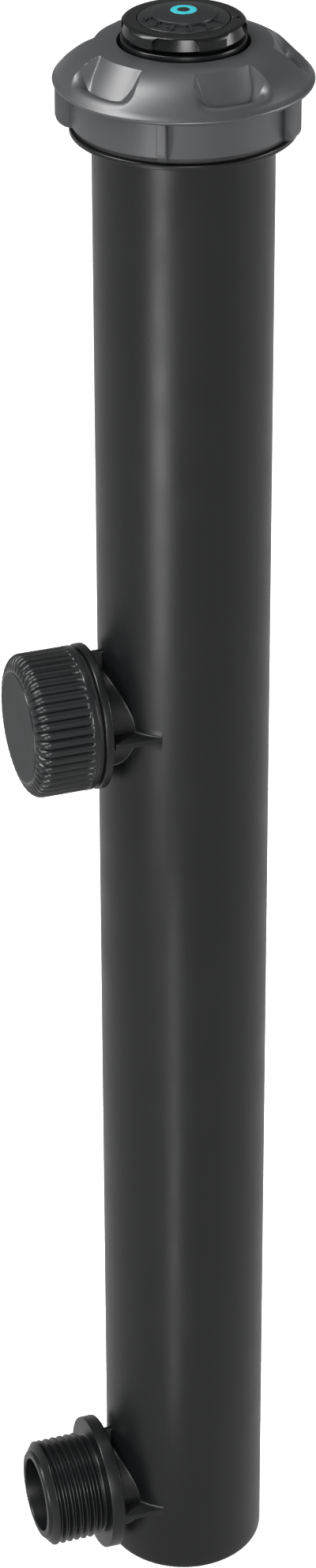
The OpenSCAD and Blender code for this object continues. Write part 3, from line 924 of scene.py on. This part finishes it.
class SPRINKLER_OT_body_cap(bpy.types.Operator):
    """Build the grey screw cap with its grips and ribs"""

    bl_idname = "sprinkler.body_cap"
    bl_label = "Body cap"

    def execute(self, context):
        cap = in_mm(context.scene.sprinkler_cap)
        angles = self.columns(cap)
        sector = 2 * math.pi / cap.grips
        local = (angles - RIB_PHASE + sector / 2) % sector - sector / 2
        offset = np.abs(cap.rib_reach * np.sin(local))
        half = 1.0
        edge = 0.25
        inset = edge - np.sqrt(np.maximum(edge ** 2 - np.maximum(offset - half + edge, 0) ** 2, 0))
        is_rib = (offset <= half + 1e-6)[:, None]
        rows = []

        def ring(radius, height):
            """Adds a row of the same radius and height all round."""
            rows.append(around(angles[:, None], np.full((1, 1), radius), np.full((1, 1), height)))

        # Inside: bore, ceiling and the edge of the opening
        lip = cap.skirt_bottom
        beyond = cap.hole_radius + 3
        inside = rounded([(cap.bore_radius, lip, 0.25), (cap.bore_radius, cap.ceiling, 0.3),
                          (cap.hole_radius, cap.ceiling, 0.2), (cap.hole_radius, cap.top, 0.18),
                          (beyond, crown_height(cap, beyond), 0)], 3)
        for radius, height in inside[3:-1]:
            ring(radius, height)
        # Crown with its grips, out to the start of its rim
        rim = 26.75
        radii = np.concatenate([np.linspace(cap.hole_radius + 0.6, 18.6, 10), np.linspace(18.75, rim, 56)])
        radii = radii[None, :]
        heights = gripped_height(cap, radii, angles[:, None])
        rows.append(around(angles[:, None], radii, heights))
        # Rim, rolled over from the crown's slope to the underside
        start = gripped_height(cap, np.full((1, 1), rim), angles[:, None])
        tip_z = cap.top - RIM_DROP
        roll = 1.15
        half_thick = 0.75
        flat = crown_height(cap, rim)
        for t in np.linspace(0, 1, 9)[1:]:
            turn = math.radians(35 + 100 * t)
            radius = cap.crown_radius - roll + roll * math.sin(turn)
            height = tip_z - 0.05 + half_thick * math.cos(turn)
            blend = smooth_step(np.array(1 - t * 1.6))
            rows.append(around(angles[:, None], np.full((1, 1), radius), height + (start - flat) * blend))
        under = tip_z - 0.62
        # Ribs and skirt: a rib's rows run round its outline, the skirt's rows stay on its wall
        outline = [(cap.rib_reach, under), (cap.rib_reach, under - 2), (cap.rib_reach, lip + 2.4)]
        for t in np.linspace(0, 1, 6):
            outline.append((cap.rib_reach - 2.8 * t ** 1.6, lip + 2.2 * (1 - t) ** 1.5 - 0.5 * t))
        outline.append((cap.skirt_radius - 0.3, lip - 0.5))
        outline.append((cap.skirt_radius - 0.3, lip - 0.05))
        skirt = [(cap.skirt_radius + 0.25, under), (cap.skirt_radius, under - 0.25)]
        levels = np.linspace(under - 1, lip + 0.3, len(outline) - 4)
        skirt += [(cap.skirt_radius, level) for level in levels]
        skirt += [(cap.skirt_radius - 0.1, lip + 0.08), (cap.skirt_radius - 0.32, lip)]
        for (rib_r, rib_z), (wall_r, wall_z) in zip(outline, skirt):
            shrink = np.where(rib_r > cap.skirt_radius, inset, 0)[:, None]
            radius = np.where(is_rib, np.maximum(rib_r - shrink, wall_r - 0.5), wall_r)
            height = np.where(is_rib, rib_z, wall_z)
            rows.append(around(angles[:, None], radius, height))
        piece = grid_piece("body_cap_moulding", np.concatenate(rows, axis=1), sharp=15)
        stand_for(piece, MATERIALS["cap"], "body_cap")
        return {"FINISHED"}

    def columns(self, cap):
        """Angles of the columns: evenly spaced, with extra ones at the sides of each rib."""
        even = np.arange(900) * 2 * math.pi / 900
        sector = 2 * math.pi / cap.grips
        centres = RIB_PHASE + sector * np.arange(cap.grips)
        offsets = np.array([1.012, 1.0, 0.98, 0.93, 0.86, 0.75])
        sides = np.concatenate([-offsets, offsets[::-1]])
        extra = (centres[:, None] + np.arcsin(sides / cap.rib_reach)[None, :]).ravel()
        near = np.abs((even[:, None] - extra[None, :] + math.pi) % (2 * math.pi) - math.pi).min(axis=1)
        return np.sort(np.concatenate([even[near > 0.002], extra % (2 * math.pi)]))


# The spray head

SCALLOP_PHASE = math.radians(-27)
SCALLOP_HALF = math.radians(22)
POINTER_AT = math.radians(73)


def knob_columns(head):
    """Angles of the range ring's columns, and how far each is inside a scallop, in millimetres of arc."""
    sector = 2 * math.pi / head.scallops
    angles = []
    depth = []
    # The jump at a scallop's side is this wide, in radians
    jump = 0.0006
    for i in range(head.scallops):
        centre = SCALLOP_PHASE + i * sector
        for t in np.linspace(-1, 1, 61):
            angles.append(centre + SCALLOP_HALF * t)
            depth.append(head.knob_radius * SCALLOP_HALF * (1 - abs(t)))
        for t in np.linspace(0, 1, 30):
            angles.append(centre + SCALLOP_HALF + jump + (sector - 2 * SCALLOP_HALF - 2 * jump) * t)
            depth.append(-1)
    return np.array(angles)[:, None], np.array(depth)[:, None]


class SPRINKLER_OT_range_ring(bpy.types.Operator):
    """Build the scalloped range ring with its hub"""

    bl_idname = "sprinkler.range_ring"
    bl_label = "Range ring"

    def execute(self, context):
        head = in_mm(context.scene.sprinkler_head)
        angles, depth = knob_columns(head)
        bottom = head.knob_top - head.knob_thick
        base = bottom + 0.3
        corner = 1.4
        roof = head.knob_top - 0.5
        foot = head.knob_radius - 0.45
        lean = 0.26
        shoulder = 1.3
        inside = np.clip(depth, 0, corner)
        arch = np.where(depth < 0, base,
                        roof - corner + np.sqrt(np.maximum(corner ** 2 - (corner - inside) ** 2, 0)))
        scalloped = depth >= 0
        rows = []

        def outer(height):
            """Radius of the ring's outside at a height."""
            above = np.clip(height - (head.knob_top - shoulder), 0, shoulder)
            return head.knob_radius - shoulder + np.sqrt(np.maximum(shoulder ** 2 - above ** 2, 0))

        def ring(radius, height):
            """Adds a row; the radius and the height may change from column to column."""
            rows.append(around(angles, radius, height))

        hub_low = low("range_ring").z / MM
        hub_bore = 2.25
        hub_radius = 3.6
        hub = rounded([(hub_bore, hub_low, 0.1), (hub_radius, hub_low, 0.2), (hub_radius, bottom, 0.2)], 3)
        for radius, height in hub[:-1]:
            ring(radius, height)
        ring(head.knob_radius - 2.2, bottom)
        ring(np.where(scalloped, foot - 0.3, head.knob_radius - 0.35), bottom)
        ring(np.where(scalloped, foot - 0.08, head.knob_radius - 0.1), bottom + 0.08)
        ring(np.where(scalloped, foot, head.knob_radius), base)
        wall = foot - lean * (arch - base)
        nick = 0.12
        ring(np.where(scalloped, wall + lean * nick, head.knob_radius),
             np.where(scalloped, arch - nick, base))
        ring(np.where(scalloped, wall + nick, head.knob_radius), arch)
        lip = arch
        bevel = 0.2
        ring(np.where(scalloped, outer(lip + bevel) - bevel, head.knob_radius), lip)
        ring(outer(lip + bevel), lip + bevel)
        for t in np.linspace(0, 1, 5)[1:]:
            start = lip + bevel
            height = start + (np.maximum(head.knob_top - shoulder, start) - start) * t
            ring(outer(height), height)
        start = np.maximum(head.knob_top - shoulder, lip + bevel)
        for t in np.linspace(0, 1, 12)[1:]:
            lift = start + (head.knob_top - start) * math.sin(t * math.pi / 2)
            ring(outer(lift), lift)
        rows.append(self.top(head, angles, head.knob_radius - shoulder, head.dial_radius + 0.35))
        seat = bottom + 1.3
        well = head.dial_radius + 0.2
        inside_wall = rounded([(head.dial_radius + 2, head.knob_top, 0), (well, head.knob_top, 0.12),
                               (well, seat, 0.1), (hub_bore, seat, 0.1), (hub_bore, hub_low + 1, 0)], 3)
        for radius, height in inside_wall[1:-1]:
            ring(radius, height)
        piece = grid_piece("range_ring_moulding", np.concatenate(rows, axis=1), sharp=32)
        stand_for(piece, MATERIALS["head"], "range_ring")
        return {"FINISHED"}

    def top(self, head, angles, outer, inner):
        """Rows of the flat top, with the pointer sunk in it."""
        pointer_depth = 0.7
        half_slope = 0.55
        radii = np.linspace(outer, inner, 16)[None, 1:]
        across = (angles - POINTER_AT + math.pi) % (2 * math.pi) - math.pi
        side = np.abs(across) * radii
        room = (radii - inner) * half_slope
        sunk = smooth_step((room - side) / 0.18) * smooth_step((outer - 0.2 - radii) / 0.2)
        return around(angles, radii, head.knob_top - pointer_depth * sunk)


class SPRINKLER_OT_nozzle(bpy.types.Operator):
    """Build the nozzle body with the flange that shows under the range ring"""

    bl_idname = "sprinkler.nozzle"
    bl_label = "Nozzle"

    def execute(self, context):
        head = in_mm(context.scene.sprinkler_head)
        top = head.flange_top
        bottom = low("nozzle_body").z / MM
        bore = head.stem_radius - 1.6
        body = bore - 0.1
        rim = high("riser_stem").z / MM + 0.1
        screw_hole = 1.2
        groove_radius = bore - 1.4
        groove_low = top - 6.6
        groove_high = top - 5.2
        jet_seat = 8.6
        chamber = 6.3
        chamber_floor = top - 7.4
        outline = rounded([
            (screw_hole, bottom, 0.1), (body, bottom, 0.3), (body, groove_low, 0.1),
            (groove_radius, groove_low, 0.1), (groove_radius, groove_high, 0.1), (body, groove_high, 0.1),
            (body, rim, 0), (head.knob_radius, rim, 0.35), (head.knob_radius, top, 0.22),
            (jet_seat + 0.8, top, 0.1), (jet_seat, top - 0.2, 0.05), (jet_seat, top - 2, 0.1),
            (chamber, top - 2, 0), (chamber, chamber_floor, 0.1), (screw_hole, chamber_floor, 0.1)], 3)
        piece = lathe("nozzle_moulding", outline, 192)
        holes = 6
        hole_circle = 4.4
        hole_radius = 1.1
        for i in range(holes):
            turn = 2 * math.pi * i / holes
            bar = cylinder_solid(hole_radius, bottom - 1, top - 6.5, 24)
            shift = np.array([hole_circle * math.cos(turn), hole_circle * math.sin(turn), 0])
            move(bar, lambda points, by=shift: points + by)
            combine(piece, bar, "DIFFERENCE")
        tidy_piece(piece)
        stand_for(piece, MATERIALS["head"], "nozzle_body")
        return {"FINISHED"}


def raised_mark(name, text, size, depth):
    """The points and faces of a raised numeral, in millimetres, centred on its own middle."""
    curve = bpy.data.curves.new(name, "FONT")
    curve.body = text
    curve.size = size
    curve.extrude = depth / 2
    curve.offset = 0.05
    curve.resolution_u = 3
    curve.align_x = "CENTER"
    curve.align_y = "CENTER"
    holder = bpy.data.objects.new(name, curve)
    bpy.context.scene.collection.objects.link(holder)
    graph = bpy.context.evaluated_depsgraph_get()
    mesh = bpy.data.meshes.new_from_object(holder.evaluated_get(graph))
    points = np.array([tuple(vertex.co) for vertex in mesh.vertices])
    faces = [tuple(polygon.vertices) for polygon in mesh.polygons]
    bpy.data.objects.remove(holder)
    bpy.data.curves.remove(curve)
    bpy.data.meshes.remove(mesh)
    return points, faces


class SPRINKLER_OT_dial(bpy.types.Operator):
    """Build the numbered dial, its centre cap and the turquoise marker ring"""

    bl_idname = "sprinkler.dial"
    bl_label = "Dial"

    def execute(self, context):
        head = in_mm(context.scene.sprinkler_head)
        top = head.knob_top
        seat = top - head.knob_thick + 1.6
        edge = top + 0.1
        inner = top + 0.5
        post_low = low("dial_plate").z / MM
        hole = 1.3
        post = 2.2
        floor = seat + 0.8
        well = head.dome_radius - 0.5
        outline = rounded([
            (hole, post_low, 0.1), (post, post_low, 0.2), (post, seat, 0.1), (head.dial_radius, seat, 0.15),
            (head.dial_radius, edge, 0.18), (head.dome_radius + 0.1, inner, 0.1), (well, inner, 0.1),
            (well, floor, 0.1), (hole, floor, 0.1)], 4)
        dial = lathe("dial_moulding", outline, 192)
        self.add_marks(dial, head, edge, inner)
        stand_for(dial, MATERIALS["dial"], "dial_plate")
        self.centre(head, top)
        marker_inner = 1.32
        marker_outer = 2.78
        marker_low = top + 0.92
        marker_high = top + 1.77
        marker = lathe("marker_moulding", rounded([
            (marker_inner, marker_low, 0.05), (marker_outer, marker_low, 0.05),
            (marker_outer, marker_high, 0.12), (marker_inner, marker_high, 0.12)], 4), 96)
        stand_for(marker, MATERIALS["marker"], "marker_ring")
        return {"FINISHED"}

    def centre(self, head, top):
        """The low dome in the middle, with the groove that holds the marker ring."""
        base = low("centre_cap").z / MM
        dome = head.dome_radius
        outline = [(0, base + 0.95), (2.2, base + 0.95), (2.2, base), (dome - 0.7, base),
                   (dome - 0.7, top + 0.55), (dome, top + 0.55)]
        rise = 0.66
        for t in np.linspace(0, 1, 5):
            turn = math.pi / 2 * t
            outline.append((dome - 0.22 + 0.22 * math.cos(turn), top + 1.02 + 0.16 * math.sin(turn)))
        brim = top + 1.18
        outline += [(r, brim + rise * (1 - (r / dome) ** 2)) for r in (5.6, 4.6, 3.8, 3.1)]
        surface = [(r, brim + rise * (1 - (r / dome) ** 2)) for r in (2.86, 1.24, 0.8, 0)]
        outline += [surface[0], (2.8, top + 1.66), (2.8, top + 0.9), (1.3, top + 0.9), (1.3, top + 1.7)]
        outline += surface[1:]
        cap = lathe("centre_moulding", outline, 160)
        stand_for(cap, MATERIALS["dial"], "centre_cap")

    def add_marks(self, dial, head, edge, inner):
        """Raises plain numerals on the dial's slope."""
        size = 3.3
        depth = 0.84
        first = -92
        step = 27
        work = bmesh.new()
        work.from_mesh(dial.data)
        middle = (head.dial_radius + head.dome_radius) / 2 + 0.05
        slope = (inner - edge) / (head.dome_radius + 0.1 - head.dial_radius)
        ground = inner + slope * (middle - head.dome_radius - 0.1)
        for i, text in enumerate(("6", "5", "4", "3", "2", "1")):
            at = math.radians(first + step * i)
            points, faces = raised_mark("mark", text, size, depth)
            radius = middle - points[:, 1]
            turn = at + points[:, 0] / middle
            height = ground + slope * (radius - middle) + points[:, 2]
            placed = around(turn, radius, height) * MM
            added = [work.verts.new(point) for point in placed.tolist()]
            for face in faces:
                work.faces.new([added[k] for k in face])
        bmesh.ops.remove_doubles(work, verts=work.verts, dist=0.0004 * MM)
        work.to_mesh(dial.data)
        work.free()
        dial.data.shade_smooth()
        dial.data.set_sharp_from_angle(angle=math.radians(35))


# Inside

class SPRINKLER_OT_riser(bpy.types.Operator):
    """Build the riser stem with its foot and water ports"""

    bl_idname = "sprinkler.riser"
    bl_label = "Riser"

    def execute(self, context):
        head = in_mm(context.scene.sprinkler_head)
        bottom = low("riser_stem").z / MM
        top = high("riser_stem").z / MM
        foot = high("riser_stem").x / MM
        bore = head.stem_radius - 1.6
        collar = bottom + 3.2
        outline = rounded([
            (bore, bottom, 0.3), (foot, bottom, 0.4), (foot, collar, 0.3), (head.stem_radius, collar, 0.3),
            (head.stem_radius, top, 0.4), (bore, top, 0.2)], 4)
        piece = lathe("stem_moulding", outline, 160)
        port_half = 3
        port_low = high("ratchet_ring").z / MM + 3
        port_high = port_low + 14
        for turn in np.radians([45, 135, 225, 315]):
            bar = box_solid((8, -port_half, port_low), (14, port_half, port_high))
            along = [math.cos(turn), math.sin(turn), 0]
            across = [-math.sin(turn), math.cos(turn), 0]
            spin = np.array([along, across, [0, 0, 1]])
            move(bar, lambda points, by=spin: points @ by)
            combine(piece, bar, "DIFFERENCE")
        tidy_piece(piece)
        stand_for(piece, MATERIALS["stem"], "riser_stem")
        return {"FINISHED"}


class SPRINKLER_OT_spring(bpy.types.Operator):
    """Wind the return spring with closed, flattened ends"""

    bl_idname = "sprinkler.spring"
    bl_label = "Spring"

    def execute(self, context):
        wire = 0.75
        radius = 14.3
        bottom = low("return_spring").z / MM
        top = high("return_spring").z / MM
        turns = 26
        dead = 1.0
        steps = turns * 28
        sides = 10
        turn = np.linspace(0, turns, steps + 1)
        live = np.clip((turn - dead) / (turns - 2 * dead), 0, 1)
        closed = np.minimum(turn, dead) + np.maximum(turn - (turns - dead), 0)
        run = top - bottom - 2 * wire - 2 * dead * 2 * wire
        height = bottom + wire + closed * 2 * wire + run * live
        angle = turn * 2 * math.pi
        ring = np.arange(sides) * 2 * math.pi / sides
        r = radius + wire * np.cos(ring)[None, :]
        z = height[:, None] + wire * np.sin(ring)[None, :]
        gap = 0.1
        grid = around(angle[:, None], r, np.clip(z, bottom + gap, top - gap))
        piece = grid_piece("return_spring_wire", grid, wrap_columns=False, wrap_rows=True, sharp=40)
        close_ends(piece)
        stand_for(piece, MATERIALS["steel"], "return_spring")
        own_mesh(piece)
        return {"FINISHED"}


class SPRINKLER_OT_inner(bpy.types.Operator):
    """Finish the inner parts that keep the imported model's shape"""

    bl_idname = "sprinkler.inner"
    bl_label = "Inner parts"

    def execute(self, context):
        finishes = {
            "wiper_carrier": "stem", "wiper_seal": "rubber", "spring_seat": "steel",
            "ratchet_ring": "natural", "filter_basket": "natural", "filter_mesh": "gauze",
            "nozzle_o_ring": "rubber", "spray_insert": "dial", "throttle_plug": "natural",
            "hub_o_ring": "rubber", "head_screw": "steel",
        }
        for node, finish in finishes.items():
            mesh = frame["nodes"][node].data
            mesh.materials.clear()
            mesh.materials.append(MATERIALS[finish])
        return {"FINISHED"}


# Stage

class SPRINKLER_OT_stage(bpy.types.Operator):
    """Lay the floor, hang the lights and set up the camera"""

    bl_idname = "sprinkler.stage"
    bl_label = "Stage"

    def execute(self, context):
        # A disc 12 m in radius whose edge sweeps up into a wall, so that no view finds an end to it
        reach = 12000
        sweep = 3000
        profile = [(0.0, 0.0)]
        for turn in np.radians(np.linspace(0, 90, 19)):
            profile.append((reach - sweep + sweep * math.sin(turn), sweep - sweep * math.cos(turn)))
        profile.append((reach, reach))
        section = np.array(profile)
        floor = grid_piece("floor", around(full_turn(128), section[:, 0], section[:, 1]), wrap_rows=False)
        floor.data.materials.append(light_table(context.scene.sprinkler_finishes))
        # The floor is left out of reflections and bounced light, so that dark plastic stays dark on white
        floor.visible_glossy = False
        floor.visible_diffuse = False
        self.surroundings(context)
        # A long softbox on the inlets' side, which lights the crown and that side of the tube
        self.lamp("key", (-0.09, -0.635, 1.03), (0, 0, 0.36), (0.2, 1.1), 17)
        # Light from the viewer's side and from the side away from the inlets, which rounds the tube
        self.lamp("fill", (1.3, -0.33, 0.7), (0, 0, 0.3), (0.5, 0.5), 13)
        self.lamp("side", (0.45, 1.2, 0.6), (0, 0, 0.3), (0.5, 0.5), 12)
        # A faint light from above and behind
        self.lamp("top", (-0.5, 0.4, 1.8), (0, 0, 0.2), (0.9, 0.9), 2)
        # Two strips close to the tube, which draw the bands of light on its lower half
        self.lamp("strip", (0.2, -0.223, 0.19), (0, 0, 0.19), (0.06, 0.16), 0.44)
        self.lamp("low_strip", (0.064, -0.0385, 0.09), (0, 0, 0.09), (0.006, 0.16), 0.02)
        self.camera(context)
        context.scene.view_settings.view_transform = "Standard"
        return {"FINISHED"}

    def surroundings(self, context):
        """A white world that is bright below the horizon and dim above it."""
        bright = 0.75
        dim = 0.18
        world = bpy.data.worlds.new("studio")
        context.scene.world = world
        world.use_nodes = True
        tree = world.node_tree
        way = add_node(tree, "ShaderNodeTexCoord").outputs["Generated"]
        height = add_node(tree, "ShaderNodeSeparateXYZ", Vector=way).outputs["Z"]
        glow = add_node(tree, "ShaderNodeMapRange", {"interpolation_type": "SMOOTHSTEP"}, Value=height,
                        From_Min=-0.4, From_Max=0.3, To_Min=bright, To_Max=dim)
        tree.links.new(glow.outputs["Result"], tree.nodes["Background"].inputs["Strength"])
        tree.nodes["Background"].inputs["Color"].default_value = (1, 1, 1, 1)

    def lamp(self, name, place, target, size, power):
        """One rectangular softbox, turned towards a target."""
        light = bpy.data.lights.new(name, "AREA")
        light.shape = "RECTANGLE"
        light.size, light.size_y = size
        light.energy = power
        holder = bpy.data.objects.new(name, light)
        holder.location = place
        holder.rotation_euler = (Vector(target) - Vector(place)).to_track_quat("-Z", "Y").to_euler()
        holder.visible_camera = False
        bpy.context.scene.collection.objects.link(holder)

    def camera(self, context):
        """The camera: above and to one side of the inlets, looking down at the case."""
        azimuth = math.radians(70.76)
        pitch = math.radians(30.152)
        distance = 0.8088
        height = 0.6888
        data = bpy.data.cameras.new("camera")
        data.sensor_width = 36
        data.lens = 93.17
        data.shift_x = -0.01636
        data.clip_start = 0.01
        data.clip_end = 50
        holder = bpy.data.objects.new("camera", data)
        holder.location = (distance * math.sin(azimuth), -distance * math.cos(azimuth), height)
        level = math.cos(pitch)
        look = Vector((-math.sin(azimuth) * level, math.cos(azimuth) * level, -math.sin(pitch)))
        holder.rotation_euler = look.to_track_quat("-Z", "Y").to_euler()
        context.scene.collection.objects.link(holder)
        context.scene.camera = holder


class SPRINKLER_PT_panel(bpy.types.Panel):
    """Lists the steps and the sizes in the 3D view's sidebar"""

    bl_idname = "SPRINKLER_PT_panel"
    bl_label = "Sprinkler"
    bl_space_type = "VIEW_3D"
    bl_region_type = "UI"
    bl_category = "Sprinkler"

    def draw(self, context):
        for operator in OPERATORS:
            self.layout.operator(operator.bl_idname)
        for name in GROUPS:
            group = getattr(context.scene, name)
            box = self.layout.box()
            for prop in group.__annotations__:
                box.prop(group, prop)


# The object's materials under their short names, filled by make_materials
MATERIALS = {}
GROUPS = {
    "sprinkler_case": CaseSizes,
    "sprinkler_inlets": InletSizes,
    "sprinkler_cap": CapSizes,
    "sprinkler_head": HeadSizes,
    "sprinkler_finishes": Finishes,
}
OPERATORS = (
    SPRINKLER_OT_case, SPRINKLER_OT_seals, SPRINKLER_OT_side_cap, SPRINKLER_OT_body_cap,
    SPRINKLER_OT_range_ring, SPRINKLER_OT_nozzle, SPRINKLER_OT_dial, SPRINKLER_OT_riser,
    SPRINKLER_OT_spring, SPRINKLER_OT_inner, SPRINKLER_OT_stage,
)


def make_materials(finishes):
    """Makes every material of the object once, under the short names that the operators use."""
    makers = {
        "case": case_plastic, "cap": cap_plastic, "side_cap": side_cap_plastic, "face": face_plastic,
        "head": head_plastic, "dial": dial_plastic, "marker": marker_plastic, "rubber": seal_rubber,
        "stem": stem_plastic, "natural": natural_plastic, "steel": spring_steel, "gauze": nylon_gauze,
    }
    for name, maker in makers.items():
        MATERIALS[name] = maker(finishes)


def register():
    """Registers the classes and hangs the settings on the scene."""
    for name, group in GROUPS.items():
        bpy.utils.register_class(group)
        setattr(bpy.types.Scene, name, PointerProperty(type=group))
    for operator in OPERATORS:
        bpy.utils.register_class(operator)
    bpy.utils.register_class(SPRINKLER_PT_panel)


def unregister():
    """Takes back what register did."""
    bpy.utils.unregister_class(SPRINKLER_PT_panel)
    for operator in reversed(OPERATORS):
        bpy.utils.unregister_class(operator)
    for name, group in GROUPS.items():
        delattr(bpy.types.Scene, name)
        bpy.utils.unregister_class(group)


def main():
    """Builds everything in order."""
    register()
    make_materials(bpy.context.scene.sprinkler_finishes)
    for operator in OPERATORS:
        module, name = operator.bl_idname.split(".")
        getattr(getattr(bpy.ops, module), name)()


if __name__ == "__main__":
    main()
